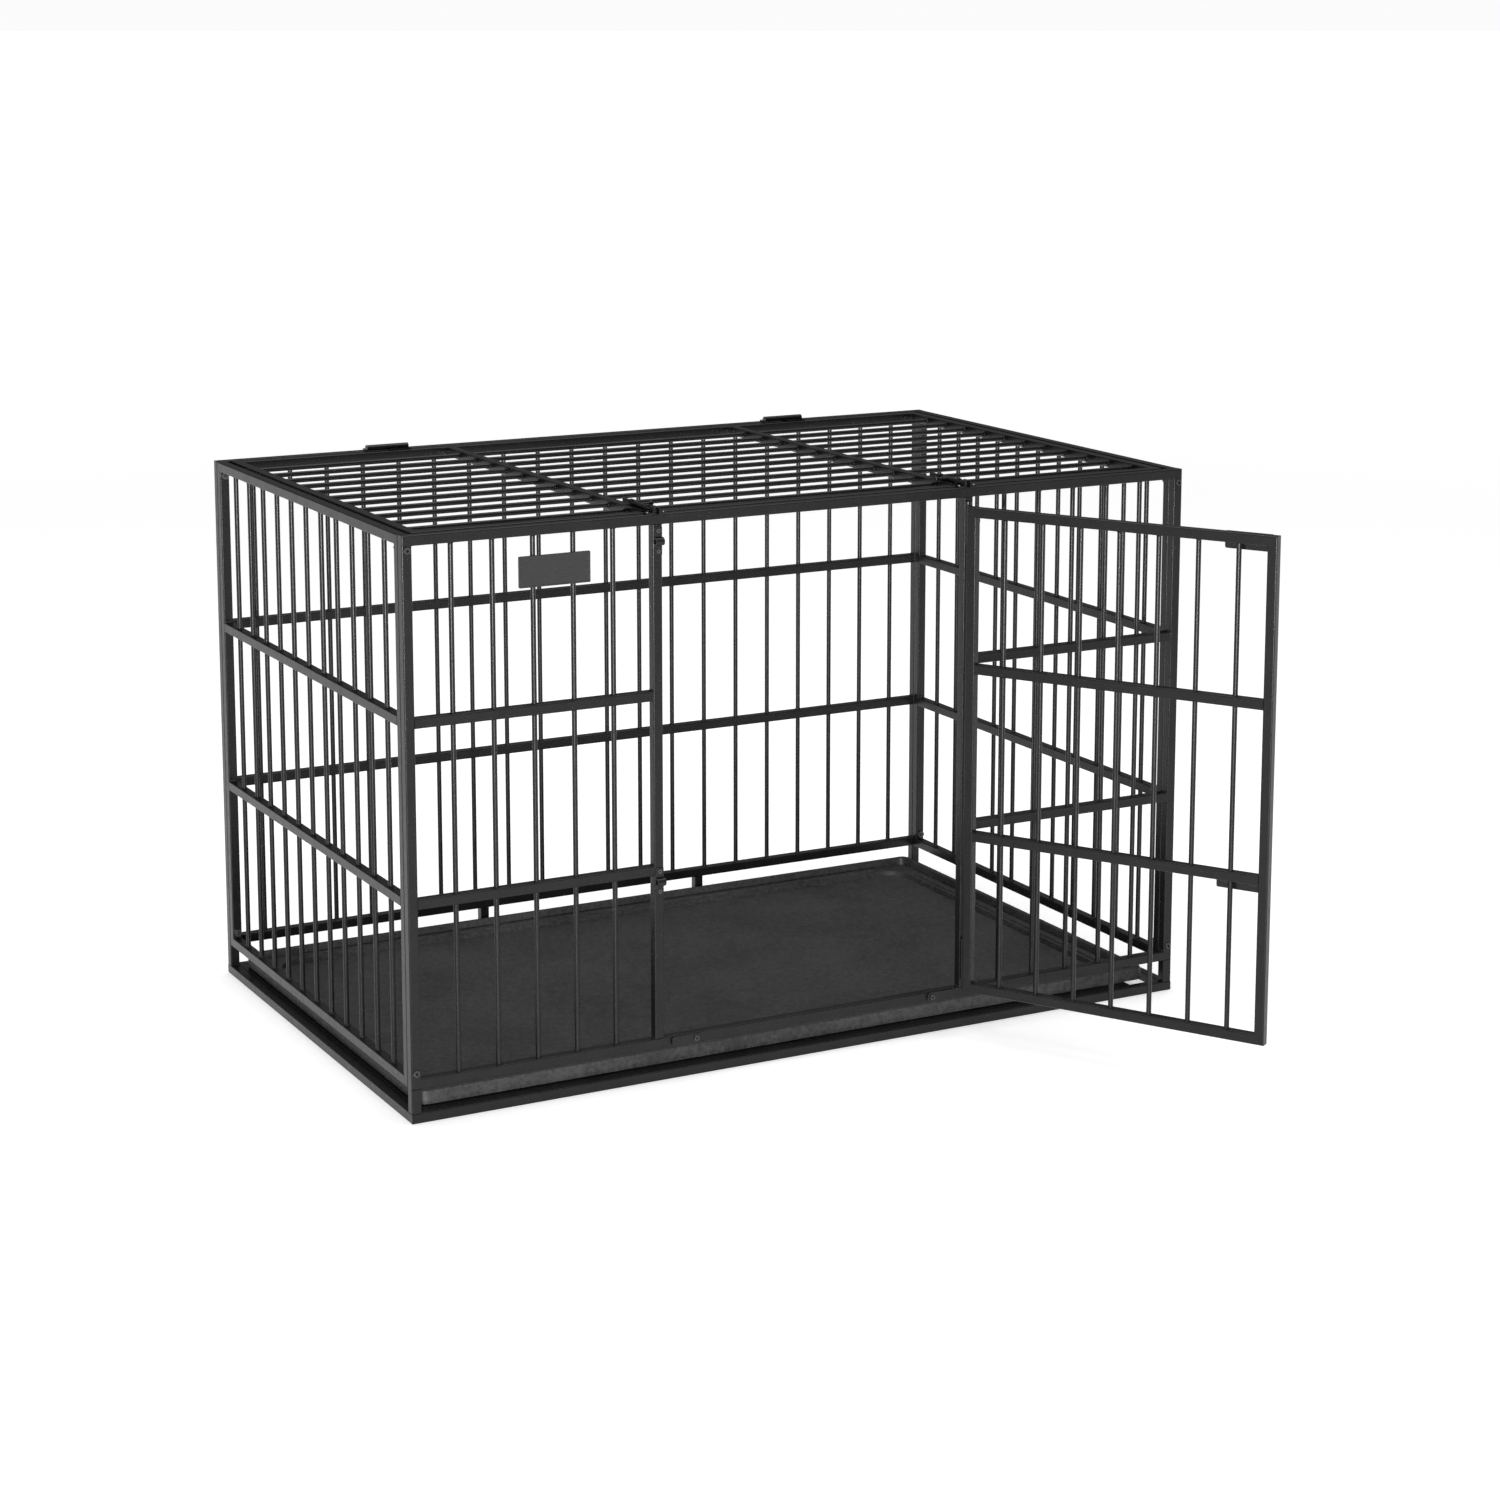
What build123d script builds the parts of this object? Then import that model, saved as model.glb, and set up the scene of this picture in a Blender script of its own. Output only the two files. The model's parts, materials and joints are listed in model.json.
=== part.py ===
from build123d import *
import os

os.makedirs("parts", exist_ok=True)

# Wire dog crate: millimetres, +X along its length, +Y to the back, +Z up.
# The origin is the centre of the footprint, on the floor.

# ---------------------------------------------------------------- driving dimensions
LENGTH = 1220.0
DEPTH = 745.0
TOP = 790.0            # top of the upper rails
TUBE = 14.0            # square tube of every frame
WALL = 1.2
EDGE = 1.6             # rounded edges of the tube
WELD = 0.05            # root gap left at each welded butt
BAR_R = 3.5            # round bars
HOLE_R = 3.55          # holes the bars pass through

PANEL_BOTTOM = 47.0    # underside of the panels, above the tray gap
MID_RAILS = (299.0, 542.0)
FRONT_BARS = (58.1, 5)
BACK_BARS = (58.1, 20)
SIDE_BARS = (58.8, 11)
JAMB_X = 244.2         # centre of each door jamb

DOOR_W = 462.0
DOOR_H = 704.0
DOOR_BOTTOM = 62.0
DOOR_EDGE = 8.0        # hinge axis to the near edge of the door
DOOR_RAILS = (292.5, 535.5)
DOOR_BARS = (58.1, 7)
DOOR_SET_BACK = 4.9    # hinge axis to the outer face of the door
DOOR_HINGE = (240.0, -377.4)
DOOR_DIR = (0.5105, -0.8599, 0)

LID_L = 1178.0
LID_W = 703.0
LID_DIVIDER_X = 244.0
LID_BARS = (58.0, 11)
LID_HINGE = (355.0, 794.0)
LID_HINGE_X = 342.0

PIN_R = 2.5
RUNNING = 0.05         # radial play of a moving hinge half on its pin
BOLT_AXIS = 5.2        # latch rod above the face its plate sits on
BOLT_R = 3.0
STRIKE_R = 3.9         # hole in the loop a latch rod shoots into
LOOP_WALL = 1.5
STRAP_T = 1.8          # straps with a loop, on the jamb and on the top rail
LATCH_T = 1.5          # latch plates
LEAF_T = 2.4           # hinge leaves
SCREW_HOLE_R = 1.55

CROSS_X = (-305.0, 0.0, 305.0)
SHELF_W = 25.0         # flat bars inside the ring that carry the tray's edges
SHELF_T = 3.0
SHELF_END = 545.0
TRAY_X = (-590.0, 578.0)
TRAY_W = 700.0
TRAY_Z = (14.3, 34.0)
TRAY_SKIN = 2.2
TRAY_LEDGE = 9.0       # ledge round the pan, above its underside
TRAY_SKIRT = 1.4       # lower edge of the skirt, above the pan's underside
TRAY_STEP = 6.8        # step in the skirt, above the pan's underside
CLIP_X = 190.0
CLIP_Z = PANEL_BOTTOM + TUBE / 2

CORNER_X = LENGTH / 2 - TUBE / 2
CORNER_Y = DEPTH / 2 - TUBE / 2
INNER_X = LENGTH / 2 - TUBE
INNER_Y = DEPTH / 2 - TUBE
PANEL_H = TOP - PANEL_BOTTOM
PANEL_MID = (TOP + PANEL_BOTTOM) / 2
RAIL_LOW = PANEL_BOTTOM + TUBE
RAIL_HIGH = TOP - TUBE
CORNER_BOLT_Z = (69.5, 770.5)

# Working planes. Local x runs along each panel and local y is up, except on the floor and the lid.
FRONT = Plane(origin=(0, -CORNER_Y, 0), x_dir=(1, 0, 0), z_dir=(0, -1, 0))
BACK = Plane(origin=(0, CORNER_Y, 0), x_dir=(1, 0, 0), z_dir=(0, -1, 0))
LEFT = Plane(origin=(-CORNER_X, 0, 0), x_dir=(0, 1, 0), z_dir=(1, 0, 0))
RIGHT = Plane(origin=(CORNER_X, 0, 0), x_dir=(0, 1, 0), z_dir=(1, 0, 0))
INWARD = Vector(*DOOR_DIR).cross(Vector(0, 0, 1))
DOOR_FACE = Plane(origin=(DOOR_HINGE[0], DOOR_HINGE[1], 0), x_dir=DOOR_DIR, z_dir=INWARD)
DOOR_MID = DOOR_FACE.offset(DOOR_SET_BACK + TUBE / 2)
DOOR_MID_X = DOOR_EDGE + DOOR_W / 2
DOOR_MID_Z = DOOR_BOTTOM + DOOR_H / 2


# ---------------------------------------------------------------- shared pieces
def shifted(plane, x, y, z):
    """The same plane with its origin moved along its own axes."""
    return Plane(origin=plane.from_local_coords((x, y, z)), x_dir=plane.x_dir, z_dir=plane.z_dir)


def straight_tube(length, holes=(0, 0)):
    """Square tube along X about the origin, with square ends and bar holes along Z."""
    pitch, count = holes
    with BuildPart() as piece:
        with BuildSketch(Plane.YZ.offset(-length / 2 + WELD)):
            RectangleRounded(TUBE, TUBE, EDGE)
            RectangleRounded(TUBE - 2 * WALL, TUBE - 2 * WALL, EDGE / 2, mode=Mode.SUBTRACT)
        extrude(amount=length - 2 * WELD)
        if count:
            with BuildSketch(Plane.XY):
                with GridLocations(pitch, 1, count, 1):
                    Circle(HOLE_R)
            extrude(amount=TUBE, both=True, mode=Mode.SUBTRACT)
    return piece.part


def mitred_tube(length):
    """Square tube along X about the origin, mitred at both ends, longest on its +Z side."""
    reach = length / 2 - TUBE / 2 - WELD
    with BuildPart() as piece:
        with BuildSketch(Plane.YZ.offset(-length / 2)):
            RectangleRounded(TUBE, TUBE, EDGE)
            RectangleRounded(TUBE - 2 * WALL, TUBE - 2 * WALL, EDGE / 2, mode=Mode.SUBTRACT)
        extrude(amount=length)
        split(bisect_by=Plane(origin=(reach, 0, 0), x_dir=(0, 1, 0), z_dir=(1, 0, -1)), keep=Keep.BOTTOM)
        split(bisect_by=Plane(origin=(-reach, 0, 0), x_dir=(0, 1, 0), z_dir=(-1, 0, -1)), keep=Keep.BOTTOM)
    return piece.part


def mitred_frame(plane, width, height):
    """Rectangle of four mitred tubes lying in a plane, centred on its origin."""
    across = mitred_tube(width)
    upright = mitred_tube(height)
    side = width / 2 - TUBE / 2
    end = height / 2 - TUBE / 2
    with BuildPart(plane) as frame:
        with Locations(
            Plane(origin=(0, end, 0), x_dir=(1, 0, 0), z_dir=(0, 1, 0)),
            Plane(origin=(0, -end, 0), x_dir=(1, 0, 0), z_dir=(0, -1, 0)),
        ):
            add(across)
        with Locations(
            Plane(origin=(side, 0, 0), x_dir=(0, 1, 0), z_dir=(1, 0, 0)),
            Plane(origin=(-side, 0, 0), x_dir=(0, 1, 0), z_dir=(-1, 0, 0)),
        ):
            add(upright)
    return frame.part


def round_bars(plane, layout, centre, start, end):
    """Row of bars, spaced along the plane's x and running along its y from start to end."""
    pitch, count = layout
    foot = plane.from_local_coords((centre, start + WELD, 0))
    across = Plane(origin=foot, x_dir=plane.x_dir, z_dir=plane.y_dir)
    with BuildPart() as bars:
        with BuildSketch(across):
            with GridLocations(pitch, 1, count, 1):
                Circle(BAR_R)
        extrude(amount=end - start - 2 * WELD)
    return bars.part


def mid_rails(plane, length, centres, heights, layout):
    """Rails running along the plane's x, with a hole for every bar that passes through."""
    rail = straight_tube(length, layout)
    with BuildPart(plane) as rails:
        for height in heights:
            for centre in centres:
                with Locations(Plane(origin=(centre, height, 0), x_dir=(1, 0, 0), z_dir=(0, 1, 0))):
                    add(rail)
    return rails.part


def drill(planes, radius, depth):
    """Round cutters that start on each plane's origin and go down into the work."""
    with BuildPart() as cutters:
        for plane in planes:
            with BuildSketch(plane.offset(1)):
                Circle(radius)
            extrude(amount=-depth - 1)
    return cutters.part


def pan_screws(planes, grip, radius=1.5, head=2.8, rise=1.4):
    """Pan-head screws standing on each plane, with a cross recess."""
    with BuildPart() as screws:
        for plane in planes:
            with BuildSketch(plane):
                Circle(head)
            extrude(amount=rise)
            with BuildSketch(plane):
                Circle(radius)
            extrude(amount=-grip)
            with BuildSketch(plane.offset(rise)):
                Rectangle(head * 1.1, 0.6)
                Rectangle(0.6, head * 1.1)
            extrude(amount=-0.6, mode=Mode.SUBTRACT)
    return screws.part


def loop_profile(hole, wall):
    """Outline of a raised loop on a flat base, the hole's centre at the latch rod's height."""
    with BuildSketch() as outline:
        with Locations((0, BOLT_AXIS)):
            Circle(hole + wall)
        with Locations((0, BOLT_AXIS / 2)):
            Rectangle(2 * (hole + wall), BOLT_AXIS)
        with Locations((0, BOLT_AXIS)):
            Circle(hole, mode=Mode.SUBTRACT)
    return outline.sketch


def latch_base(planes, length, width, guide_at, screw_at):
    """Slotted latch plate with two guide loops. Local x is the way the rod shoots; the plate ends at 0."""
    guide = loop_profile(BOLT_R + 0.08, LOOP_WALL)
    slot_mid = sum(guide_at) / 2 + 4
    slot_length = guide_at[1] - guide_at[0] - 14
    with BuildPart() as base:
        for plane in planes:
            with BuildSketch(plane):
                with Locations((-length / 2, 0)):
                    RectangleRounded(length, width, 3)
                with Locations((slot_mid, 0)):
                    SlotOverall(slot_length, 5, mode=Mode.SUBTRACT)
                if screw_at:
                    with Locations(*screw_at):
                        Circle(SCREW_HOLE_R, mode=Mode.SUBTRACT)
            extrude(amount=LATCH_T)
            for start in guide_at:
                across = Plane(
                    origin=plane.from_local_coords((start, 0, 0)), x_dir=plane.y_dir, z_dir=plane.x_dir
                )
                with BuildSketch(across):
                    add(guide)
                extrude(amount=8)
    return base.part


def slide_bolt(plane, tail, nose, handle_x, handle_dir):
    """Latch rod along the plane's x with a handle that ends in a ball."""
    raised = plane.offset(BOLT_AXIS)
    rod_start = Plane(origin=raised.from_local_coords((tail, 0, 0)), x_dir=plane.y_dir, z_dir=plane.x_dir)
    arm = Plane(origin=raised.from_local_coords((handle_x, 0, 0)), x_dir=plane.x_dir, z_dir=handle_dir)
    with BuildPart() as rod:
        with BuildSketch(rod_start):
            Circle(BOLT_R)
        extrude(amount=nose - tail)
        chamfer(rod.edges().filter_by(GeomType.CIRCLE), length=0.7)
        with BuildSketch(arm):
            Circle(2.3)
        extrude(amount=17)
        with Locations(arm.offset(18.5)):
            Sphere(3.9)
    return rod.part


def loop_strap(planes, half_length, width, screw_offset):
    """Strap with a raised loop that the latch rod shoots into. Local x is the way the rod shoots."""
    loop = loop_profile(STRIKE_R, LOOP_WALL)
    with BuildPart() as straps:
        for plane in planes:
            across = Plane(
                origin=plane.from_local_coords((-width / 2, 0, 0)), x_dir=plane.y_dir, z_dir=plane.x_dir
            )
            with BuildSketch(across):
                add(loop)
                with Locations((0, STRAP_T / 2)):
                    Rectangle(2 * half_length, STRAP_T)
                Rectangle(2 * STRIKE_R, 2 * BOLT_AXIS, mode=Mode.SUBTRACT)
            extrude(amount=width)
            with BuildSketch(plane):
                with Locations((0, screw_offset), (0, -screw_offset)):
                    Circle(SCREW_HOLE_R)
            extrude(amount=4, mode=Mode.SUBTRACT)
    return straps.part


def finish(piece, name):
    """Name the finished piece and write its file."""
    piece.label = name
    export_step(piece, "parts/" + name + ".step")


# ---------------------------------------------------------------- base under the panels
base_ring = mitred_frame(Plane.XY.offset(TUBE / 2), LENGTH, DEPTH)
finish(base_ring, "base_ring")

post_tube = straight_tube(PANEL_BOTTOM - TUBE)
POST_MID = (PANEL_BOTTOM + TUBE) / 2
post_spots = [Plane(origin=(sx * CORNER_X, sy * CORNER_Y, POST_MID), x_dir=(0, 0, 1), z_dir=(1, 0, 0))
              for sx in (-1, 1) for sy in (-1, 1)]
with BuildPart() as base_corner_posts:
    with Locations(*post_spots):
        add(post_tube)
finish(base_corner_posts.part, "base_corner_posts")

back_spots = [Plane(origin=(sx * CLIP_X, CORNER_Y, POST_MID), x_dir=(0, 0, 1), z_dir=(1, 0, 0))
              for sx in (-1, 1)]
with BuildPart() as base_back_posts:
    with Locations(*back_spots):
        add(post_tube)
finish(base_back_posts.part, "base_back_posts")

cross_tube = straight_tube(2 * INNER_Y)
cross_spots = [Plane(origin=(x, 0, TUBE / 2), x_dir=(0, 1, 0), z_dir=(0, 0, 1)) for x in CROSS_X]
with BuildPart() as base_cross_bars:
    with Locations(*cross_spots):
        add(cross_tube)
finish(base_cross_bars.part, "base_cross_bars")

# Flat bars level with the ring's top: along the front and the back, one in each bay between the
# cross bars, and one along the end that the tray reaches.
shelf_ends = [-INNER_X] + [x + side * TUBE / 2 for x in CROSS_X for side in (-1, 1)] + [SHELF_END]
with BuildPart() as base_tray_shelves:
    with BuildSketch(Plane.XY.offset(TUBE - SHELF_T)):
        for start, end in zip(shelf_ends[::2], shelf_ends[1::2]):
            for side in (-1, 1):
                with Locations(((start + end) / 2, side * (INNER_Y - WELD - SHELF_W / 2))):
                    Rectangle(end - start - 2 * WELD, SHELF_W)
        with Locations((-INNER_X + WELD + SHELF_W / 2, 0)):
            Rectangle(SHELF_W, 2 * (INNER_Y - SHELF_W - 2 * WELD))
    extrude(amount=SHELF_T)
finish(base_tray_shelves.part, "base_tray_shelves")

# ---------------------------------------------------------------- corner bolts and nuts
# Each bolt passes from the front or back panel's post into the side panel's post.
bolt_planes = [Plane(origin=(sx * CORNER_X, sy * DEPTH / 2, z), x_dir=(1, 0, 0), z_dir=(0, sy, 0))
               for sx in (-1, 1) for sy in (-1, 1) for z in CORNER_BOLT_Z]
corner_holes = drill(bolt_planes, 3.1, 2 * TUBE + 1)

with BuildPart() as corner_bolts:
    for spot in bolt_planes:
        with BuildSketch(spot):
            Circle(5.4)
        extrude(amount=2.6, taper=22)
        with BuildSketch(spot):
            Circle(3.0)
        extrude(amount=-(2 * TUBE + 7))
        with BuildSketch(spot.offset(2.6)):
            RegularPolygon(2.2, 6)
        extrude(amount=-1.6, mode=Mode.SUBTRACT)
finish(corner_bolts.part, "corner_bolts")

with BuildPart() as corner_nuts:
    for spot in bolt_planes:
        with BuildSketch(spot.offset(-2 * TUBE - 0.05)):
            RegularPolygon(5.0, 6, major_radius=False)
            Circle(3.02, mode=Mode.SUBTRACT)
        extrude(amount=-4.6)
finish(corner_nuts.part, "corner_nuts")

# ---------------------------------------------------------------- latch and hinge places on the front
STRIKE_Z = (284.0, 754.0)
strike_planes = [Plane(origin=(-JAMB_X, -DEPTH / 2, z), x_dir=(-1, 0, 0), z_dir=(0, -1, 0)) for z in STRIKE_Z]
STRIKE_SCREW = 14.0
strike_screw_planes = [shifted(plane, 0, side * STRIKE_SCREW, STRAP_T)
                       for plane in strike_planes for side in (-1, 1)]
HINGE_Z = (75.0, 711.0)
HINGE_HALF = 30.0
HINGE_SCREW_X = 247.6
leaf_front = Plane(origin=(HINGE_SCREW_X, -DEPTH / 2 - LEAF_T, 0), x_dir=(1, 0, 0), z_dir=(0, -1, 0))
hinge_screw_planes = [shifted(leaf_front, 0, z + up, 0) for z in HINGE_Z for up in (7, 23)]

# ---------------------------------------------------------------- fixed panels
front_shell = mitred_frame(FRONT, LENGTH, PANEL_H)
clip_planes = [Plane(origin=(sx * CLIP_X, -DEPTH / 2, CLIP_Z), x_dir=(1, 0, 0), z_dir=(0, -1, 0))
               for sx in (-1, 1)]
clip_holes = drill(clip_planes, 2.05, 4)
keeper_planes = [Plane(origin=(sx * LID_DIVIDER_X, -CORNER_Y, TOP), x_dir=(0, -1, 0), z_dir=(0, 0, 1))
                 for sx in (-1, 1)]
KEEPER_SCREW = 12.0
keeper_screw_planes = [shifted(plane, 0, side * KEEPER_SCREW, STRAP_T)
                       for plane in keeper_planes for side in (-1, 1)]
keeper_holes = drill(keeper_screw_planes, SCREW_HOLE_R, 6)
with BuildPart() as front_frame:
    with Locations((0, 0, PANEL_MID)):
        add(front_shell)
    add(corner_holes, mode=Mode.SUBTRACT)
    add(clip_holes, mode=Mode.SUBTRACT)
    add(keeper_holes, mode=Mode.SUBTRACT)
finish(front_frame.part, "front_frame")

jamb_tube = straight_tube(RAIL_HIGH - RAIL_LOW)
jamb_holes = drill(strike_screw_planes + hinge_screw_planes, SCREW_HOLE_R, 6)
JAMB_MID = (RAIL_HIGH + RAIL_LOW) / 2
jamb_spots = [Plane(origin=(sx * JAMB_X, -CORNER_Y, JAMB_MID), x_dir=(0, 0, 1), z_dir=(1, 0, 0))
              for sx in (-1, 1)]
with BuildPart() as door_jambs:
    with Locations(*jamb_spots):
        add(jamb_tube)
    add(jamb_holes, mode=Mode.SUBTRACT)
finish(door_jambs.part, "door_jambs")

JAMB_OUT = JAMB_X + TUBE / 2
WING = INNER_X - JAMB_OUT
WING_MID = (INNER_X + JAMB_OUT) / 2
front_mid_rails = mid_rails(FRONT, WING, (-WING_MID, WING_MID), MID_RAILS, FRONT_BARS)
finish(front_mid_rails, "front_mid_rails")
front_left_bars = round_bars(FRONT, FRONT_BARS, -WING_MID, RAIL_LOW, RAIL_HIGH)
front_right_bars = round_bars(FRONT, FRONT_BARS, WING_MID, RAIL_LOW, RAIL_HIGH)
with BuildPart() as front_bars:
    add(front_left_bars)
    add(front_right_bars)
finish(front_bars.part, "front_bars")

back_shell = mitred_frame(BACK, LENGTH, PANEL_H)
with BuildPart() as back_frame:
    with Locations((0, 0, PANEL_MID)):
        add(back_shell)
    add(corner_holes, mode=Mode.SUBTRACT)
finish(back_frame.part, "back_frame")
finish(mid_rails(BACK, 2 * INNER_X, (0,), MID_RAILS, BACK_BARS), "back_mid_rails")
finish(round_bars(BACK, BACK_BARS, 0, RAIL_LOW, RAIL_HIGH), "back_bars")

for side_name, side_plane in (("left", LEFT), ("right", RIGHT)):
    side_shell = mitred_frame(side_plane, 2 * INNER_Y - 2 * WELD, PANEL_H)
    with BuildPart() as side_frame:
        with Locations((0, 0, PANEL_MID)):
            add(side_shell)
        add(corner_holes, mode=Mode.SUBTRACT)
    finish(side_frame.part, side_name + "_frame")
    side_rail_length = 2 * (INNER_Y - TUBE) - 2 * WELD
    finish(mid_rails(side_plane, side_rail_length, (0,), MID_RAILS, SIDE_BARS), side_name + "_mid_rails")
    finish(round_bars(side_plane, SIDE_BARS, 0, RAIL_LOW, RAIL_HIGH), side_name + "_bars")

# ---------------------------------------------------------------- name plate clamped on two front bars
PLATE_MID = (-(WING_MID - FRONT_BARS[0] / 2), 728.0)
PLATE_BACK = -CORNER_Y - BAR_R - 0.05
STRAP_FRONT = -CORNER_Y + BAR_R + 0.05
plate_plane = Plane(origin=(PLATE_MID[0], PLATE_BACK, PLATE_MID[1]), x_dir=(1, 0, 0), z_dir=(0, -1, 0))
strap_plane = Plane(origin=(PLATE_MID[0], STRAP_FRONT, PLATE_MID[1]), x_dir=(1, 0, 0), z_dir=(0, 1, 0))
PLATE_SCREWS = [(0, -11), (0, 11)]
PLATE_W = 103.0
PLATE_H = 42.0
PLATE_T = 2.4
with BuildPart() as name_plate:
    with BuildSketch(plate_plane):
        RectangleRounded(PLATE_W, PLATE_H, 1.5)
    extrude(amount=PLATE_T)
    with BuildSketch(plate_plane.offset(PLATE_T)):
        RectangleRounded(PLATE_W, PLATE_H, 1.5)
        RectangleRounded(PLATE_W - 4, PLATE_H - 4, 1, mode=Mode.SUBTRACT)
    extrude(amount=0.6)
    with BuildSketch(plate_plane):
        with Locations(*PLATE_SCREWS):
            Circle(3.6)
    extrude(amount=-(STRAP_FRONT - PLATE_BACK))
    with BuildSketch(strap_plane):
        with Locations(*PLATE_SCREWS):
            Circle(1.52)
    extrude(amount=-6.5, mode=Mode.SUBTRACT)
finish(name_plate.part, "name_plate")

with BuildPart() as name_plate_strap:
    with BuildSketch(strap_plane):
        RectangleRounded(80, 32, 3)
        with Locations(*PLATE_SCREWS):
            Circle(SCREW_HOLE_R, mode=Mode.SUBTRACT)
    extrude(amount=1.5)
finish(name_plate_strap.part, "name_plate_strap")

name_screw_planes = [shifted(strap_plane, across, up, 1.5) for across, up in PLATE_SCREWS]
finish(pan_screws(name_screw_planes, 7.5), "name_plate_screws")

# ---------------------------------------------------------------- strikes and keepers
finish(loop_strap(strike_planes, STRIKE_SCREW + 5, 12, STRIKE_SCREW), "door_strikes")
finish(pan_screws(strike_screw_planes, 5), "strike_screws")
finish(loop_strap(keeper_planes, KEEPER_SCREW + 4, 10, KEEPER_SCREW), "lid_keepers")
finish(pan_screws(keeper_screw_planes, 5, rise=1.3), "lid_keeper_screws")

# ---------------------------------------------------------------- door hinges
PIN_START = 4.0
DOOR_BARREL_R = 4.5
FIXED_LEAF_W = 10.7
with BuildPart() as door_hinge_fixed:
    for low in HINGE_Z:
        with BuildSketch(Plane.XY.offset(low)):
            with Locations(DOOR_HINGE):
                Circle(DOOR_BARREL_R)
            with Locations((DOOR_HINGE[0] + FIXED_LEAF_W / 2, -DEPTH / 2 - LEAF_T / 2)):
                Rectangle(FIXED_LEAF_W, LEAF_T)
        extrude(amount=HINGE_HALF - 0.15)
        with BuildSketch(Plane.XY.offset(low + PIN_START)):
            with Locations(DOOR_HINGE):
                Circle(PIN_R + 0.01)
        extrude(amount=HINGE_HALF, mode=Mode.SUBTRACT)
    fixed_drill = drill(hinge_screw_planes, SCREW_HOLE_R, 5)
    add(fixed_drill, mode=Mode.SUBTRACT)
finish(door_hinge_fixed.part, "door_hinge_fixed")
finish(pan_screws(hinge_screw_planes, 5, rise=1.2), "door_hinge_jamb_screws")

with BuildPart() as door_hinge_pins:
    for low in HINGE_Z:
        with BuildSketch(Plane.XY.offset(low + PIN_START)):
            with Locations(DOOR_HINGE):
                Circle(PIN_R)
        extrude(amount=2 * HINGE_HALF - 2 * PIN_START)
finish(door_hinge_pins.part, "door_hinge_pins")

leaf_screw_planes = [Plane(origin=DOOR_FACE.from_local_coords((14.5, low + up, 2.4)), x_dir=DOOR_DIR,
                           z_dir=-INWARD) for low in HINGE_Z for up in (36.5, 45.0)]
leaf_holes = drill(leaf_screw_planes, SCREW_HOLE_R, 6)
with BuildPart() as door_hinge_leaves:
    for low in HINGE_Z:
        with BuildSketch(Plane.XY.offset(low + HINGE_HALF + 0.15)):
            with Locations(DOOR_HINGE):
                Circle(DOOR_BARREL_R)
        extrude(amount=HINGE_HALF - 0.15)
        with BuildSketch(DOOR_FACE.offset(2.4)):
            with Locations((11.6, low + 43)):
                RectangleRounded(18, 23, 2.5)
        extrude(amount=2.5)
        with BuildSketch(Plane.XY.offset(low + HINGE_HALF)):
            with Locations(DOOR_HINGE):
                Circle(PIN_R + RUNNING)
        extrude(amount=HINGE_HALF - PIN_START + 0.5, mode=Mode.SUBTRACT)
    add(leaf_holes, mode=Mode.SUBTRACT)
finish(door_hinge_leaves.part, "door_hinge_leaves")
finish(pan_screws(leaf_screw_planes, 5, rise=1.2), "door_hinge_leaf_screws")

# ---------------------------------------------------------------- door, standing open
DOOR_LATCH_X = 460.0
LATCH_GUIDES = (-66.0, -14.0)
LATCH_SCREWS = [(-52, -8), (-20, -8)]
latch_planes = [Plane(origin=DOOR_FACE.from_local_coords((DOOR_LATCH_X, z, DOOR_SET_BACK)), x_dir=DOOR_DIR,
                      z_dir=-INWARD) for z in STRIKE_Z]
latch_screw_planes = [shifted(plane, x, y, LATCH_T) for plane in latch_planes for x, y in LATCH_SCREWS]
latch_holes = drill(latch_screw_planes, SCREW_HOLE_R, 5)
door_shell = mitred_frame(DOOR_MID, DOOR_W, DOOR_H)
DOOR_SHIFT = Vector(*DOOR_DIR).normalized() * DOOR_MID_X
with BuildPart() as door_frame:
    with Locations((DOOR_SHIFT.X, DOOR_SHIFT.Y, DOOR_MID_Z)):
        add(door_shell)
    add(leaf_holes, mode=Mode.SUBTRACT)
    add(latch_holes, mode=Mode.SUBTRACT)
finish(door_frame.part, "door_frame")

door_rails = mid_rails(DOOR_MID, DOOR_W - 2 * TUBE, (DOOR_MID_X,), DOOR_RAILS, DOOR_BARS)
with BuildPart() as door_mid_rails:
    add(door_rails)
    add(latch_holes, mode=Mode.SUBTRACT)
finish(door_mid_rails.part, "door_mid_rails")
finish(
    round_bars(DOOR_MID, DOOR_BARS, DOOR_MID_X, DOOR_BOTTOM + TUBE, DOOR_BOTTOM + DOOR_H - TUBE), "door_bars"
)
finish(latch_base(latch_planes, 70, 24, LATCH_GUIDES, LATCH_SCREWS), "door_latch_plates")
finish(pan_screws(latch_screw_planes, 4.2, rise=1.2), "door_latch_screws")
for bolt_name, bolt_plane in (("lower_door_bolt", latch_planes[0]), ("upper_door_bolt", latch_planes[1])):
    finish(slide_bolt(bolt_plane, tail=-86, nose=6, handle_x=-48, handle_dir=-INWARD), bolt_name)

# ---------------------------------------------------------------- lid
lid_frame = mitred_frame(Plane.XY.offset(TOP - TUBE / 2), LID_L, LID_W)
LID_LATCH_Y = -349.0
lid_latch_planes = [Plane(origin=(sx * LID_DIVIDER_X, LID_LATCH_Y, TOP), x_dir=(0, -1, 0), z_dir=(0, 0, 1))
                    for sx in (-1, 1)]
LID_GUIDES = (-58.0, -8.0)
finish(lid_frame, "lid_frame")

divider = straight_tube(LID_W - 2 * TUBE, LID_BARS)
with BuildPart() as lid_dividers:
    with Locations(
        Plane(origin=(-LID_DIVIDER_X, 0, TOP - TUBE / 2), x_dir=(0, 1, 0), z_dir=(1, 0, 0)),
        Plane(origin=(LID_DIVIDER_X, 0, TOP - TUBE / 2), x_dir=(0, 1, 0), z_dir=(1, 0, 0)),
    ):
        add(divider)
finish(lid_dividers.part, "lid_dividers")

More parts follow.
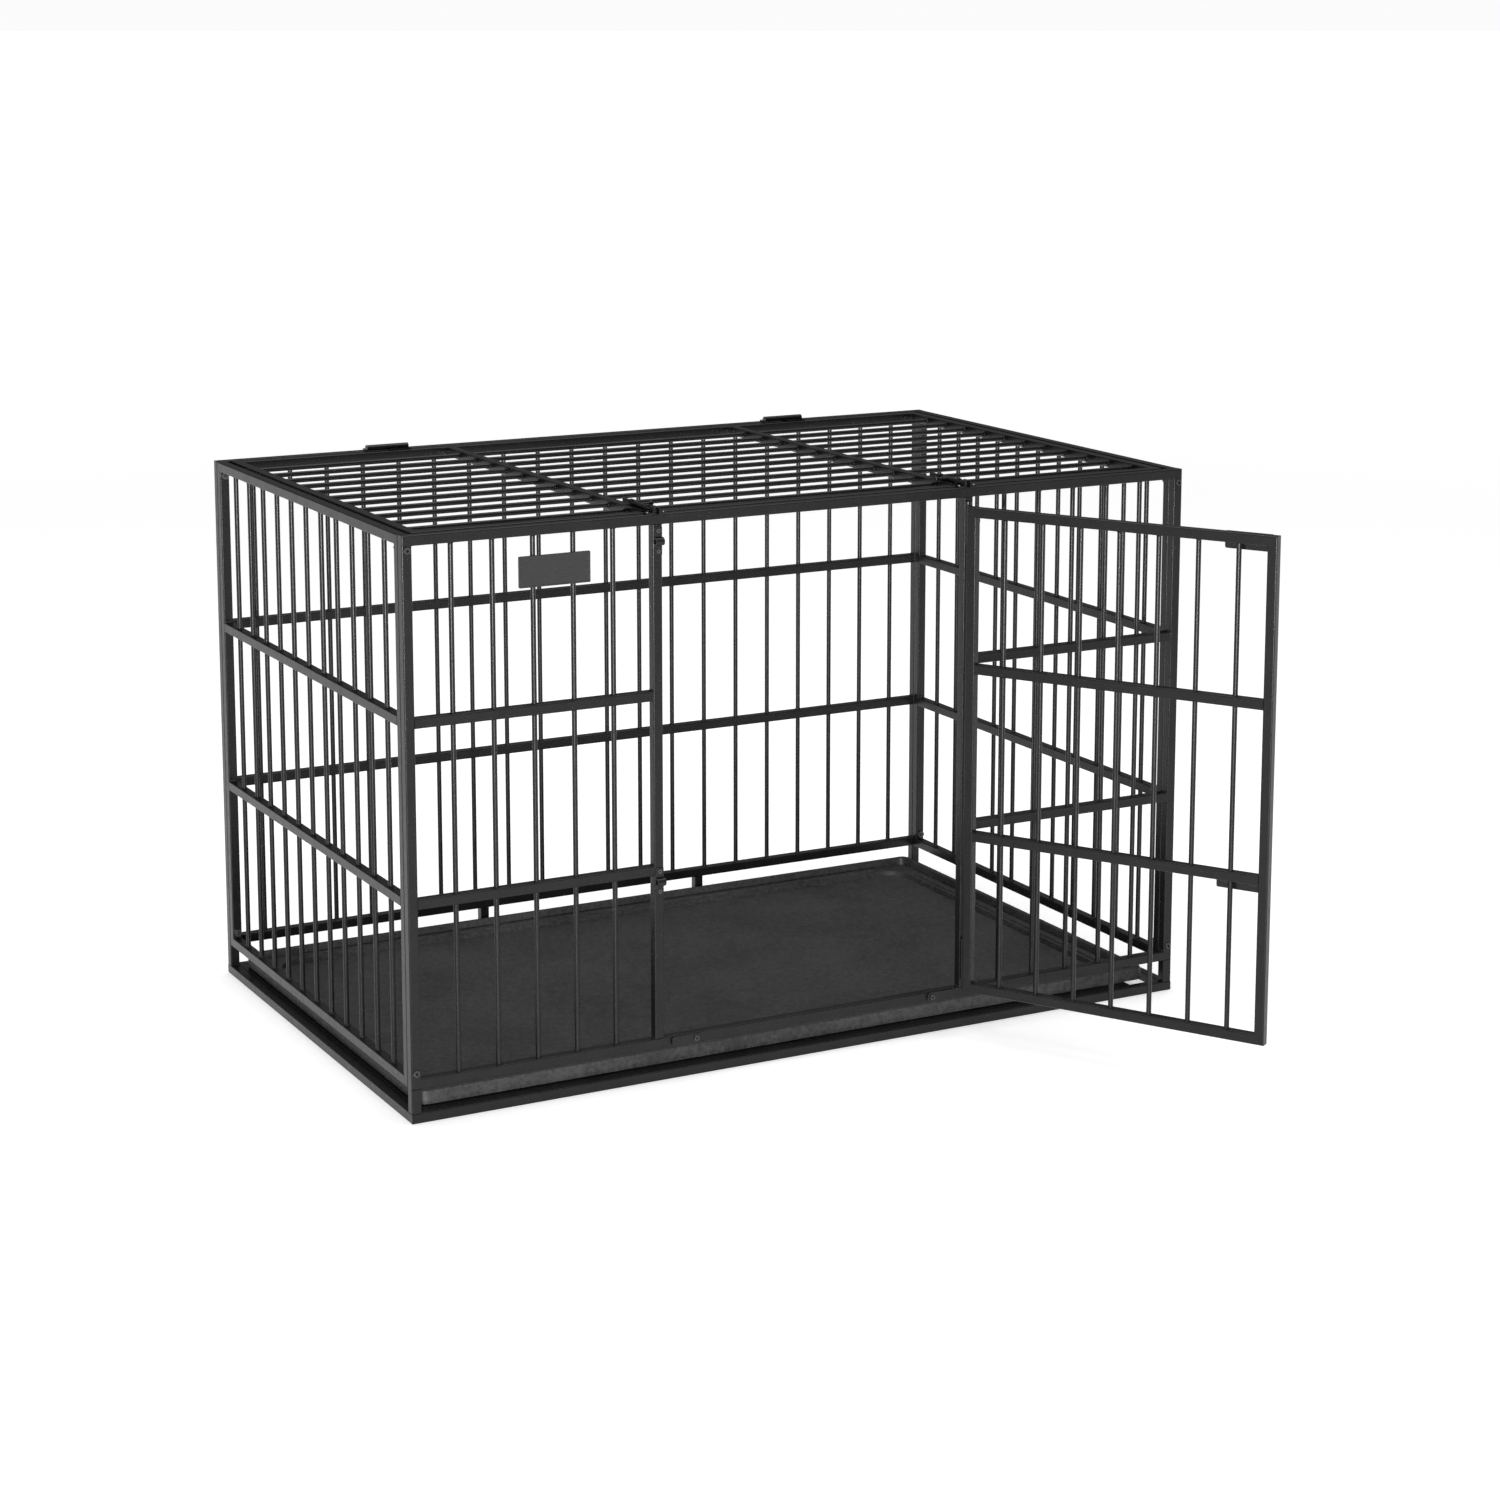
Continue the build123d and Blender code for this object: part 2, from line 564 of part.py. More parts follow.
LID_MID = Plane(origin=(0, 0, TOP - TUBE / 2), x_dir=(0, 1, 0), z_dir=(0, 0, -1))
finish(round_bars(LID_MID, LID_BARS, 0, -LID_L / 2 + TUBE, LID_L / 2 - TUBE), "lid_bars")

finish(latch_base(lid_latch_planes, 60, 20, LID_GUIDES, []), "lid_latch_plates")
for bolt_name, bolt_plane, side in (
    ("left_lid_bolt", lid_latch_planes[0], 1),
    ("right_lid_bolt", lid_latch_planes[1], -1),
):
    outward = bolt_plane.y_dir * side
    finish(slide_bolt(bolt_plane, tail=-79, nose=7, handle_x=-34, handle_dir=outward), bolt_name)

LID_BARREL = 33.5
LID_BARREL_R = 5.0
LEAF_REACH = 14.5
for part_name, side, start, bore in (
    ("lid_hinge_fixed", 1, -LID_BARREL, PIN_R + 0.01),
    ("lid_hinge_moving", -1, 0.15, PIN_R + RUNNING),
):
    with BuildPart() as lid_hinge:
        for x in (-LID_HINGE_X, LID_HINGE_X):
            with BuildSketch(Plane.YZ.offset(x + start)):
                with Locations(LID_HINGE):
                    Circle(LID_BARREL_R)
                with Locations((LID_HINGE[0] + side * (LEAF_REACH + 2) / 2, TOP + LEAF_T / 2)):
                    Rectangle(LEAF_REACH - 2, LEAF_T)
            extrude(amount=LID_BARREL - 0.15)
            with BuildSketch(Plane.YZ.offset(x - LID_BARREL + 4)):
                with Locations(LID_HINGE):
                    Circle(bore)
            extrude(amount=2 * LID_BARREL - 8, mode=Mode.SUBTRACT)
    finish(lid_hinge.part, part_name)

with BuildPart() as lid_hinge_pins:
    for x in (-LID_HINGE_X, LID_HINGE_X):
        with BuildSketch(Plane.YZ.offset(x - LID_BARREL + 4)):
            with Locations(LID_HINGE):
                Circle(PIN_R)
        extrude(amount=2 * LID_BARREL - 8.4)
finish(lid_hinge_pins.part, "lid_hinge_pins")

# ---------------------------------------------------------------- tray and its turn clips
TRAY_L = TRAY_X[1] - TRAY_X[0]
TRAY_MID = (TRAY_X[0] + TRAY_X[1]) / 2
TRAY_FLOOR = Plane(origin=(TRAY_MID, 0, TRAY_Z[0]), x_dir=(1, 0, 0), z_dir=(0, 0, 1))
TRAY_H = TRAY_Z[1] - TRAY_Z[0]
# Each of these is how much shorter than the tray an outline is, both ends together.
UPSTAND = 24.0          # foot of the upstand's inner face
PAN = 72.0              # outside of the pan
RIB_END = 150.0
SIDE_LEDGE = [(0, side * (TRAY_W - (UPSTAND + PAN) / 2) / 2) for side in (-1, 1)]
END_LEDGE = [(side * (TRAY_L - (UPSTAND + PAN) / 2) / 2, 0) for side in (-1, 1)]
with BuildPart() as tray:
    # The skirt turned down outside the rim, stepped once, and the rim that closes it at the top.
    with BuildSketch(TRAY_FLOOR.offset(TRAY_SKIRT)):
        RectangleRounded(TRAY_L - 2, TRAY_W - 2, 13)
    extrude(amount=TRAY_STEP - TRAY_SKIRT)
    with BuildSketch(TRAY_FLOOR.offset(TRAY_STEP)):
        RectangleRounded(TRAY_L, TRAY_W, 14)
    extrude(amount=TRAY_H - TRAY_STEP, taper=7)
    with BuildSketch(TRAY_FLOOR.offset(TRAY_SKIRT)):
        RectangleRounded(TRAY_L - 2 - 2 * TRAY_SKIN, TRAY_W - 2 - 2 * TRAY_SKIN, 11)
    extrude(amount=TRAY_H - TRAY_SKIN - TRAY_SKIRT, mode=Mode.SUBTRACT)
    # The pan, the ledge round it and the upstand, solid here before they are hollowed.
    with BuildSketch(TRAY_FLOOR.offset(TRAY_LEDGE - TRAY_SKIN)):
        RectangleRounded(TRAY_L - UPSTAND + 5, TRAY_W - UPSTAND + 5, 12)
    extrude(amount=TRAY_H - TRAY_LEDGE + TRAY_SKIN, taper=-12)
    with BuildSketch(TRAY_FLOOR):
        RectangleRounded(TRAY_L - PAN, TRAY_W - PAN, 34)
    extrude(amount=TRAY_LEDGE, taper=-20)
    with BuildSketch(TRAY_FLOOR.offset(TRAY_SKIN)):
        RectangleRounded(TRAY_L - PAN - 4, TRAY_W - PAN - 4, 32)
    extrude(amount=TRAY_LEDGE - TRAY_SKIN, taper=-20, mode=Mode.SUBTRACT)
    with BuildSketch(TRAY_FLOOR.offset(TRAY_LEDGE)):
        RectangleRounded(TRAY_L - UPSTAND, TRAY_W - UPSTAND, 10)
    extrude(amount=TRAY_H - TRAY_LEDGE, taper=-12, mode=Mode.SUBTRACT)
    fillet(tray.edges().group_by(Axis.Z)[-1], radius=0.9)
    # Raised stiffening ribs along the middle of the ledge, stopping short of the corners.
    with BuildSketch(TRAY_FLOOR.offset(TRAY_LEDGE)):
        with Locations(*SIDE_LEDGE):
            SlotOverall(TRAY_L - RIB_END, 12)
        with Locations(*END_LEDGE):
            SlotOverall(TRAY_W - RIB_END, 12, rotation=90)
    extrude(amount=2.4, taper=25)
finish(tray.part, "tray")

CLIP_HOLE_R = 2.05
CLIP_OUT = 1.5          # spacer that holds a clip off the rail
with BuildPart() as clip_spacers:
    with BuildSketch(*clip_planes):
        Circle(4)
        Circle(CLIP_HOLE_R, mode=Mode.SUBTRACT)
    extrude(amount=CLIP_OUT)
finish(clip_spacers.part, "tray_clip_spacers")

with BuildPart() as clip_screws:
    with BuildSketch(*[plane.offset(3.8) for plane in clip_planes]):
        Circle(4.2)
    extrude(amount=1.8, taper=15)
    with BuildSketch(*clip_planes):
        Circle(2.0)
    extrude(amount=3.8)
    with BuildSketch(*clip_planes):
        Circle(2.0)
    extrude(amount=-4)
    with BuildSketch(*[plane.offset(5.6) for plane in clip_planes]):
        Rectangle(4.6, 0.8)
        Rectangle(0.8, 4.6)
    extrude(amount=-0.9, mode=Mode.SUBTRACT)
finish(clip_screws.part, "tray_clip_screws")

CLIP_LENGTH = 37.0
for clip_name, clip_plane, out in (
    ("left_tray_clip", clip_planes[0], -1),
    ("right_tray_clip", clip_planes[1], 1),
):
    with BuildPart() as clip:
        with BuildSketch(clip_plane.offset(CLIP_OUT + 0.3)):
            with Locations((out * (CLIP_LENGTH - 7) / 2, 0)):
                RectangleRounded(CLIP_LENGTH + 7, 13, 5)
            Circle(CLIP_HOLE_R, mode=Mode.SUBTRACT)
        extrude(amount=1.7)
    finish(clip.part, clip_name)
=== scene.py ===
import json
import math
import random
import bpy
import bmesh
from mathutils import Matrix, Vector


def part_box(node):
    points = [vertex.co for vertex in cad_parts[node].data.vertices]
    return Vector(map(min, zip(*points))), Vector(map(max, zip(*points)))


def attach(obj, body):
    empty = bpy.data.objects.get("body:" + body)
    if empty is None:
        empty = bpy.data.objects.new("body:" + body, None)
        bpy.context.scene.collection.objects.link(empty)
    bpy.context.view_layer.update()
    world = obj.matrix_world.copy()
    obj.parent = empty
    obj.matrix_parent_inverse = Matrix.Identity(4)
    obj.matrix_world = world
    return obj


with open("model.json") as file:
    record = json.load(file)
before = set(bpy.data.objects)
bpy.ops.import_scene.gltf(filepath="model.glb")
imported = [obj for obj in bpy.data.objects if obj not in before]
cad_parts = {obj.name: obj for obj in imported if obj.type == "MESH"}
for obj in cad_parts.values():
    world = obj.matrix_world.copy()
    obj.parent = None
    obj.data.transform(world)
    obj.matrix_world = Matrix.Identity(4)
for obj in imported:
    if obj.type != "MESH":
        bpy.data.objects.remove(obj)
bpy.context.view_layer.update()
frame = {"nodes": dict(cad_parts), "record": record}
nodes = frame["nodes"]
joints = {j["name"]: j for j in frame["record"]["behaviour"]["joints"]}

# Driving sizes, in metres.
COLLAR = 0.0013         # fillet round the end of a bar
THROUGH = 0.0010        # fillet round a bar where it passes through a rail or divider
CORNER_BEAD = 0.0017    # bead inside a mitred corner
BUTT_BEAD = 0.0015      # bead where a rail butts against a post
SINK = 0.0001           # how far a bead's rim goes into the metal
INSET = 0.10            # share of a tube's depth left free at each end of a bead
SAME_POINT = 1e-6
SAME_BOX = 1e-5

# Powder coat: darkest and lightest base colour, roughness, orange peel and specular level.
COAT_DARK = (0.0040, 0.0040, 0.0042)
COAT_LIGHT = (0.0070, 0.0070, 0.0073)
HARDWARE_DARK = (0.005, 0.005, 0.0053)
HARDWARE_LIGHT = (0.009, 0.009, 0.0093)
COAT_ROUGH = 0.28
HARDWARE_ROUGH = 0.22
COAT_GLOSS = 0.28

FLOOR_HALF = 400.0      # the floor reaches the horizon
FLOOR_NEAR = 3.0        # the floor's own glow rises between these distances from the crate
FLOOR_FAR = 12.0
GLOW_NEAR = 0.42
GLOW_FAR = 0.85

CAMERA_AT = (-2.094, -4.113, 1.487)
CAMERA_YAW = 28.01
CAMERA_PITCH = 9.68
CAMERA_LENS = 76.1
CAMERA_SHIFT = -0.15


# ------------------------------------------------------------------ measuring the frame
def islands(name):
    """Box of each separate solid in a node, in metres."""
    mesh = nodes[name].data
    bm = bmesh.new()
    bm.from_mesh(mesh)
    bmesh.ops.remove_doubles(bm, verts=bm.verts, dist=SAME_POINT)
    seen = set()
    boxes = []
    for start in bm.verts:
        if start in seen:
            continue
        stack = [start]
        seen.add(start)
        low = start.co.copy()
        high = start.co.copy()
        while stack:
            vert = stack.pop()
            for k in range(3):
                low[k] = min(low[k], vert.co[k])
                high[k] = max(high[k], vert.co[k])
            for edge in vert.link_edges:
                other = edge.other_vert(vert)
                if other not in seen:
                    seen.add(other)
                    stack.append(other)
        boxes.append((low, high))
    bm.free()
    merged = []
    for low, high in sorted(boxes, key=lambda b: -(b[1] - b[0]).length):
        inside = any(
            all(l[k] <= low[k] + SAME_BOX and high[k] <= h[k] + SAME_BOX for k in range(3)) for l, h in merged
        )
        if not inside:
            merged.append((low, high))
    return merged


def span(name, direction):
    """How far a node reaches along a direction: (lowest, highest)."""
    reach = [v.co.dot(direction) for v in nodes[name].data.vertices]
    return min(reach), max(reach)


X = Vector((1, 0, 0))
Y = Vector((0, 1, 0))
Z = Vector((0, 0, 1))
DOOR = Vector(joints["upper_door_bolt_slide"]["axis"]).normalized()
DOOR_IN = DOOR.cross(Z)


# ------------------------------------------------------------------ weld beads
class Welds:
    """One mesh of weld beads for one body."""

    def __init__(self, name, body, seed):
        self.name = name
        self.body = body
        self.bm = bmesh.new()
        self.rng = random.Random(seed)

    def strip(self, rings, closed):
        """Join rings of points into a surface."""
        count = len(rings)
        made = [[self.bm.verts.new(p) for p in ring] for ring in rings]
        for i in range(count if closed else count - 1):
            a = made[i]
            b = made[(i + 1) % count]
            for k in range(len(a) - 1):
                self.bm.faces.new((a[k], b[k], b[k + 1], a[k + 1]))

    def collar(self, centre, axis, radius, size=COLLAR, steps=18):
        """Lumpy fillet round a bar where it leaves a face; axis points away from the face."""
        side = axis.orthogonal().normalized()
        other = axis.cross(side)
        phase = self.rng.uniform(0, 6.28)
        lean = self.rng.uniform(0.05, 0.22)
        scale = size * self.rng.uniform(0.85, 1.15)
        rings = []
        for i in range(steps):
            angle = 2 * math.pi * i / steps
            out = side * math.cos(angle) + other * math.sin(angle)
            s = scale * (1 + lean * math.sin(angle + phase) + 0.12 * math.sin(5 * angle + 2 * phase)
                         + self.rng.uniform(-0.05, 0.05))
            rings.append([
                centre + out * (radius + s) - axis * SINK,
                centre + out * (radius + 0.80 * s) + axis * 0.42 * s,
                centre + out * (radius + 0.42 * s) + axis * 0.82 * s,
                centre + out * (radius - SINK) + axis * 1.05 * s,
            ])
        self.strip(rings, True)

    def fillet(self, start, end, a, b, size=CORNER_BEAD, steps=14):
        """Rippled bead along an inside corner; a and b point away from the corner along its two faces."""
        run = end - start
        along = run.normalized()
        phase = self.rng.uniform(0, 6.28)
        rings = []
        for i in range(steps + 1):
            t = i / steps
            fade = min(1.0, 0.45 + 4.0 * min(t, 1 - t))
            s = size * fade * (1 + 0.13 * math.sin(11 * t + phase) + self.rng.uniform(-0.07, 0.07))
            p = start + run * t
            rings.append([
                p + a * s - b * SINK,
                p + a * s * 0.72 + b * s * 0.30,
                p + a * s * 0.42 + b * s * 0.56,
                p + a * s * 0.16 + b * s * 0.85,
                p - a * SINK + b * s,
            ])
        first = rings[0]
        last = rings[-1]
        rings.insert(0, [start + (q - start) * 0.25 + along * SINK for q in first])
        rings.append([end + (q - end) * 0.25 - along * SINK for q in last])
        self.strip(rings, False)

    def done(self, material, slot_name):
        """Turn the beads into one piece that rides its body."""
        mesh = bpy.data.meshes.new(self.name)
        bmesh.ops.recalc_face_normals(self.bm, faces=self.bm.faces)
        self.bm.to_mesh(mesh)
        self.bm.free()
        for face in mesh.polygons:
            face.use_smooth = True
        piece = bpy.data.objects.new(self.name, mesh)
        bpy.context.scene.collection.objects.link(piece)
        mesh.materials.append(material)
        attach(piece, self.body)


# ------------------------------------------------------------------ materials
def new_material(name):
    material = bpy.data.materials.new(name)
    material.use_nodes = True
    tree = material.node_tree
    shader = next(n for n in tree.nodes if n.type == "BSDF_PRINCIPLED")
    return material, tree, shader


def noise(tree, source, scale, detail, rough):
    node = tree.nodes.new("ShaderNodeTexNoise")
    node.inputs["Scale"].default_value = scale
    node.inputs["Detail"].default_value = detail
    node.inputs["Roughness"].default_value = rough
    tree.links.new(source, node.inputs["Vector"])
    return node.outputs["Fac"]


def ramp(tree, source, stops):
    node = tree.nodes.new("ShaderNodeValToRGB")
    bar = node.color_ramp
    while len(bar.elements) < len(stops):
        bar.elements.new(0.5)
    for element, (at, value) in zip(bar.elements, stops):
        element.position = at
        element.color = value if len(value) == 4 else (*value, 1)
    tree.links.new(source, node.inputs["Fac"])
    return node.outputs["Color"]


def grey(v):
    return (v, v, v, 1)


def mix(tree, factor, a, b):
    node = tree.nodes.new("ShaderNodeMix")
    node.data_type = "RGBA"
    for socket, value in ((node.inputs["Factor"], factor), (node.inputs[6], a), (node.inputs[7], b)):
        if isinstance(value, bpy.types.NodeSocket):
            tree.links.new(value, socket)
        else:
            socket.default_value = value
    return node.outputs[2]


def bump(tree, height, strength, distance, after=None):
    node = tree.nodes.new("ShaderNodeBump")
    node.inputs["Strength"].default_value = strength
    node.inputs["Distance"].default_value = distance
    tree.links.new(height, node.inputs["Height"])
    if after is not None:
        tree.links.new(after, node.inputs["Normal"])
    return node.outputs["Normal"]


def powder_coat(name, dark, light, rough, peel):
    """Satin powder coat: fine orange peel, faint mottling, specks of dust and a slow drift in sheen."""
    material, tree, shader = new_material(name)
    where = tree.nodes.new("ShaderNodeTexCoord").outputs["Object"]
    mottle = mix(tree, 0.5, noise(tree, where, 24, 4, 0.6), noise(tree, where, 310, 4, 0.65))
    base = ramp(tree, mottle, [(0.38, dark), (0.62, light)])
    dust = ramp(tree, noise(tree, where, 620, 6, 0.75), [(0.66, grey(0)), (0.78, grey(0.35))])
    tree.links.new(mix(tree, dust, base, (0.030, 0.030, 0.029, 1)), shader.inputs["Base Color"])
    sheen = ramp(tree, noise(tree, where, 70, 5, 0.6), [(0.3, grey(rough - 0.04)), (0.7, grey(rough + 0.06))])
    tree.links.new(sheen, shader.inputs["Roughness"])
    shader.inputs["Specular IOR Level"].default_value = COAT_GLOSS
    grain = noise(tree, where, 1500, 3, 0.5)
    waves = noise(tree, where, 420, 3, 0.5)
    tree.links.new(
        bump(tree, grain, peel, 0.00010, bump(tree, waves, peel * 0.8, 0.00018)), shader.inputs["Normal"]
    )
    return material


def blackened_steel(name):
    """Oxide-black fastener, brighter where it has been handled."""
    material, tree, shader = new_material(name)
    where = tree.nodes.new("ShaderNodeTexCoord").outputs["Object"]
    cloud = noise(tree, where, 240, 5, 0.6)
    base = ramp(tree, cloud, [(0.3, (0.010, 0.010, 0.011)), (0.75, (0.030, 0.030, 0.029))])
    pointed = tree.nodes.new("ShaderNodeNewGeometry").outputs["Pointiness"]
    edge = ramp(tree, pointed, [(0.52, grey(0)), (0.60, grey(0.8))])
    tree.links.new(mix(tree, edge, base, (0.12, 0.12, 0.12, 1)), shader.inputs["Base Color"])
    tree.links.new(ramp(tree, cloud, [(0.3, grey(0.30)), (0.7, grey(0.46))]), shader.inputs["Roughness"])
    shader.inputs["Metallic"].default_value = 0.85
    tree.links.new(bump(tree, noise(tree, where, 1800, 3, 0.6), 0.2, 0.0001), shader.inputs["Normal"])
    return material


def plain_steel(name):
    """Drawn steel pin with fine turning lines and a film of oil."""
    material, tree, shader = new_material(name)
    coords = tree.nodes.new("ShaderNodeTexCoord").outputs["Object"]
    stretch = tree.nodes.new("ShaderNodeMapping")
    stretch.inputs["Scale"].default_value = (1, 1, 14)
    tree.links.new(coords, stretch.inputs["Vector"])
    lines = noise(tree, stretch.outputs["Vector"], 260, 4, 0.6)
    tree.links.new(ramp(tree, lines, [(0.3, grey(0.36)), (0.7, grey(0.50))]), shader.inputs["Base Color"])
    tree.links.new(ramp(tree, lines, [(0.3, grey(0.22)), (0.7, grey(0.38))]), shader.inputs["Roughness"])
    shader.inputs["Metallic"].default_value = 1.0
    tree.links.new(bump(tree, lines, 0.15, 0.0001), shader.inputs["Normal"])
    return material


def tray_plastic(name):
    """Vacuum-formed plastic: pebbled grain, faint flow streaks and scuffs."""
    material, tree, shader = new_material(name)
    coords = tree.nodes.new("ShaderNodeTexCoord").outputs["Object"]
    cells = tree.nodes.new("ShaderNodeTexVoronoi")
    cells.feature = "SMOOTH_F1"
    cells.inputs["Scale"].default_value = 520
    cells.inputs["Smoothness"].default_value = 0.7
    tree.links.new(coords, cells.inputs["Vector"])
    pebble = cells.outputs["Distance"]
    cloud = noise(tree, coords, 7, 6, 0.6)
    speckle = mix(tree, 0.62, cloud, noise(tree, coords, 150, 3, 0.7))
    base = ramp(tree, speckle, [(0.40, (0.011, 0.011, 0.0113)), (0.60, (0.036, 0.036, 0.0365))])
    stretch = tree.nodes.new("ShaderNodeMapping")
    stretch.inputs["Scale"].default_value = (2.5, 26, 1)
    stretch.inputs["Rotation"].default_value = (0, 0, 0.5)
    tree.links.new(coords, stretch.inputs["Vector"])
    scuffs = ramp(tree, noise(tree, stretch.outputs["Vector"], 9, 8, 0.75), [(0.60, grey(0)), (0.74, grey(0.5))])
    tree.links.new(mix(tree, scuffs, base, (0.040, 0.040, 0.041, 1)), shader.inputs["Base Color"])
    tree.links.new(ramp(tree, cloud, [(0.3, grey(0.50)), (0.7, grey(0.62))]), shader.inputs["Roughness"])
    shader.inputs["Specular IOR Level"].default_value = 0.42
    fine = noise(tree, coords, 1900, 3, 0.6)
    tree.links.new(
        bump(tree, fine, 0.25, 0.0001, bump(tree, pebble, 0.55, 0.0004)), shader.inputs["Normal"]
    )
    return material


def gloss_plate(name):
    """Moulded gloss plate with hairline scratches."""
    material, tree, shader = new_material(name)
    coords = tree.nodes.new("ShaderNodeTexCoord").outputs["Object"]
    stretch = tree.nodes.new("ShaderNodeMapping")
    stretch.inputs["Scale"].default_value = (3, 1, 60)
    tree.links.new(coords, stretch.inputs["Vector"])
    lines = noise(tree, stretch.outputs["Vector"], 60, 7, 0.7)
    base = ramp(tree, lines, [(0.35, (0.008, 0.008, 0.009)), (0.8, (0.022, 0.022, 0.023))])
    tree.links.new(base, shader.inputs["Base Color"])
    tree.links.new(ramp(tree, lines, [(0.4, grey(0.17)), (0.8, grey(0.36))]), shader.inputs["Roughness"])
    tree.links.new(bump(tree, lines, 0.06, 0.0001), shader.inputs["Normal"])
    return material


looks = {
    "frame_coat": powder_coat("frame_coat", COAT_DARK, COAT_LIGHT, COAT_ROUGH, 0.35),
    "hardware_coat": powder_coat("hardware_coat", HARDWARE_DARK, HARDWARE_LIGHT, HARDWARE_ROUGH, 0.25),
    "dark_fasteners": blackened_steel("dark_fasteners"),
    "pin_steel": plain_steel("pin_steel"),
    "tray_plastic": tray_plastic("tray_plastic"),
    "plate_black": gloss_plate("plate_black"),
}
weld_look = powder_coat("weld_coat", COAT_DARK, COAT_LIGHT, COAT_ROUGH, 0.6)
slots = {s["node"]: s["material_slot"] for s in frame["record"]["subparts"]}
for name, obj in nodes.items():
    look = looks[slots[name]]
    if obj.material_slots:
        for material_slot in obj.material_slots:
            material_slot.material = look
    else:
        obj.data.materials.append(look)

# ------------------------------------------------------------------ beads where bars meet rails
crate_welds = Welds("crate_weld_beads", "crate", 11)
door_welds = Welds("door_weld_beads", "door", 12)
lid_welds = Welds("lid_weld_beads", "lid", 13)


def weld_uprights(welds, bars, rails):
    """Collars at both ends of every upright bar and at both faces of every rail it passes through."""
    levels = sorted({(round(low.z, 5), round(high.z, 5)) for low, high in islands(rails)})
    for low, high in islands(bars):
        radius = min(high.x - low.x, high.y - low.y) / 2
        x = (low.x + high.x) / 2
        y = (low.y + high.y) / 2
        welds.collar(Vector((x, y, low.z)), Z, radius)
        welds.collar(Vector((x, y, high.z)), -Z, radius)
        for under, over in levels:
            welds.collar(Vector((x, y, under)), -Z, radius, THROUGH)
            welds.collar(Vector((x, y, over)), Z, radius, THROUGH)


for panel in ("front", "left", "right", "back"):
    weld_uprights(crate_welds, panel + "_bars", panel + "_mid_rails")
weld_uprights(door_welds, "door_bars", "door_mid_rails")

divider_faces = [(low.x, high.x) for low, high in islands("lid_dividers")]
for low, high in islands("lid_bars"):
    radius = (high.z - low.z) / 2
    y = (low.y + high.y) / 2
    z = (low.z + high.z) / 2
    lid_welds.collar(Vector((low.x, y, z)), X, radius)
    lid_welds.collar(Vector((high.x, y, z)), -X, radius)
    for left, right in divider_faces:
        lid_welds.collar(Vector((left, y, z)), -X, radius, THROUGH)
        lid_welds.collar(Vector((right, y, z)), X, radius, THROUGH)


def frame_corners(welds, node, along, across, normal, tube):
    """A bead in each inside corner of a mitred frame, run across the tube's depth."""
    a0, a1 = span(node, along)
    c0, c1 = span(node, across)
    n0, n1 = span(node, normal)
    inset = tube * INSET
    for a, da in ((a0 + tube, along), (a1 - tube, -along)):
        for c, dc in ((c0 + tube, across), (c1 - tube, -across)):
            corner = along * a + across * c
            welds.fillet(corner + normal * (n0 + inset), corner + normal * (n1 - inset), da, dc)


tube_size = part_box("front_frame")[1][1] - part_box("front_frame")[0][1]
frame_corners(crate_welds, "front_frame", X, Z, Y, tube_size)
frame_corners(crate_welds, "back_frame", X, Z, Y, tube_size)
frame_corners(crate_welds, "left_frame", Y, Z, X, tube_size)
frame_corners(crate_welds, "right_frame", Y, Z, X, tube_size)
frame_corners(crate_welds, "base_ring", X, Y, Z, tube_size)
frame_corners(door_welds, "door_frame", DOOR, Z, DOOR_IN, tube_size)
frame_corners(lid_welds, "lid_frame", X, Y, Z, tube_size)


def rail_ends(welds, ends, along, normal, low_up, high_up, up, n_span):
    """Beads above and below a rail where each end butts against a post."""
    inset = tube_size * INSET
    for at, inward in ends:
        for level, away in ((low_up, -up), (high_up, up)):
            corner = along * at + up * level
            welds.fillet(
                corner + normal * (n_span[0] + inset), corner + normal * (n_span[1] - inset),
                inward, away, BUTT_BEAD,
            )


for name, along, normal, welds in (
    ("front_mid_rails", X, Y, crate_welds), ("back_mid_rails", X, Y, crate_welds),
    ("left_mid_rails", Y, X, crate_welds), ("right_mid_rails", Y, X, crate_welds),
):
    k = 0 if along is X else 1
    m = 1 - k
    for low, high in islands(name):
        rail_ends(welds, ((low[k], along), (high[k], -along)), along, normal, low.z, high.z, Z, (low[m], high[m]))

d0, d1 = span("door_mid_rails", DOOR)
for low, high in islands("door_mid_rails"):
    rail_ends(
        door_welds, ((d0, DOOR), (d1, -DOOR)), DOOR, DOOR_IN, low.z, high.z, Z, span("door_mid_rails", DOOR_IN)
    )
for low, high in islands("door_jambs"):
    rail_ends(crate_welds, ((low.z, Z), (high.z, -Z)), Z, Y, low.x, high.x, X, (low.y, high.y))
for low, high in islands("lid_dividers"):
    rail_ends(lid_welds, ((low.y, Y), (high.y, -Y)), Y, Z, low.x, high.x, X, (low.z, high.z))
for low, high in islands("base_cross_bars"):
    rail_ends(crate_welds, ((low.y, Y), (high.y, -Y)), Y, Z, low.x, high.x, X, (low.z, high.z))
for low, high in islands("base_back_posts"):
    rail_ends(crate_welds, ((low.z, Z), (high.z, -Z)), Z, Y, low.x, high.x, X, (low.y, high.y))

for welds in (crate_welds, door_welds, lid_welds):
    welds.done(weld_look, "frame_coat")

